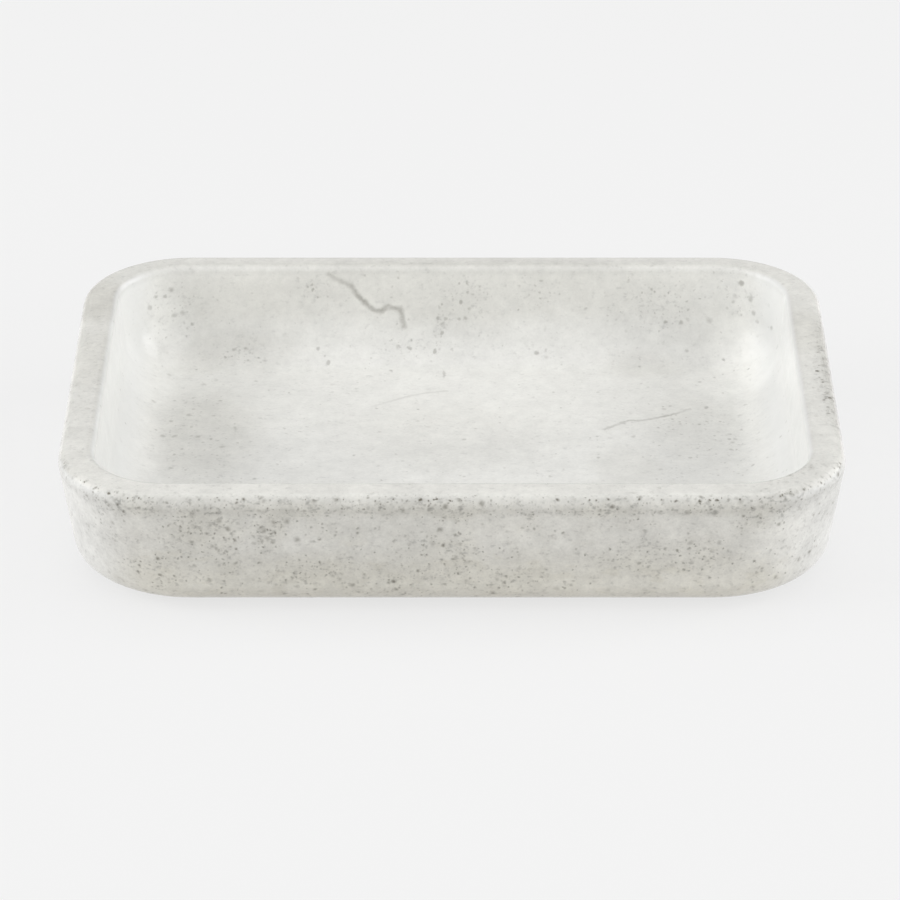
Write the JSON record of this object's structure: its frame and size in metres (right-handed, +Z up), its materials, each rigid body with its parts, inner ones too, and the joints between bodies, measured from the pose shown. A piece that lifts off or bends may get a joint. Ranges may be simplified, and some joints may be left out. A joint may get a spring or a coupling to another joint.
{
  "type": "soap dish",
  "caption": "Low rectangular soap dish with rounded corners, a smooth shallow well and a flat rim, in glossy pale stone-look glaze, standing on small anti-slip pads.",
  "frame": {"origin": "on the surface the pads stand on, under the middle of the dish", "axes": "+X along the dish's length to the right, +Y towards its rear, +Z up out of the well"},
  "size_m": [0.13, 0.098, 0.0222],
  "materials": {
    "glaze": "glossy clear glaze over a pale grey, softly pitted and veined stone pattern",
    "pad": "matt, milky anti-slip pad"
  },
  "bodies": {
    "root": {"dish": "glaze", "pad_front_left": "pad", "pad_front_right": "pad", "pad_rear_left": "pad", "pad_rear_right": "pad"}
  },
  "joints": []
}
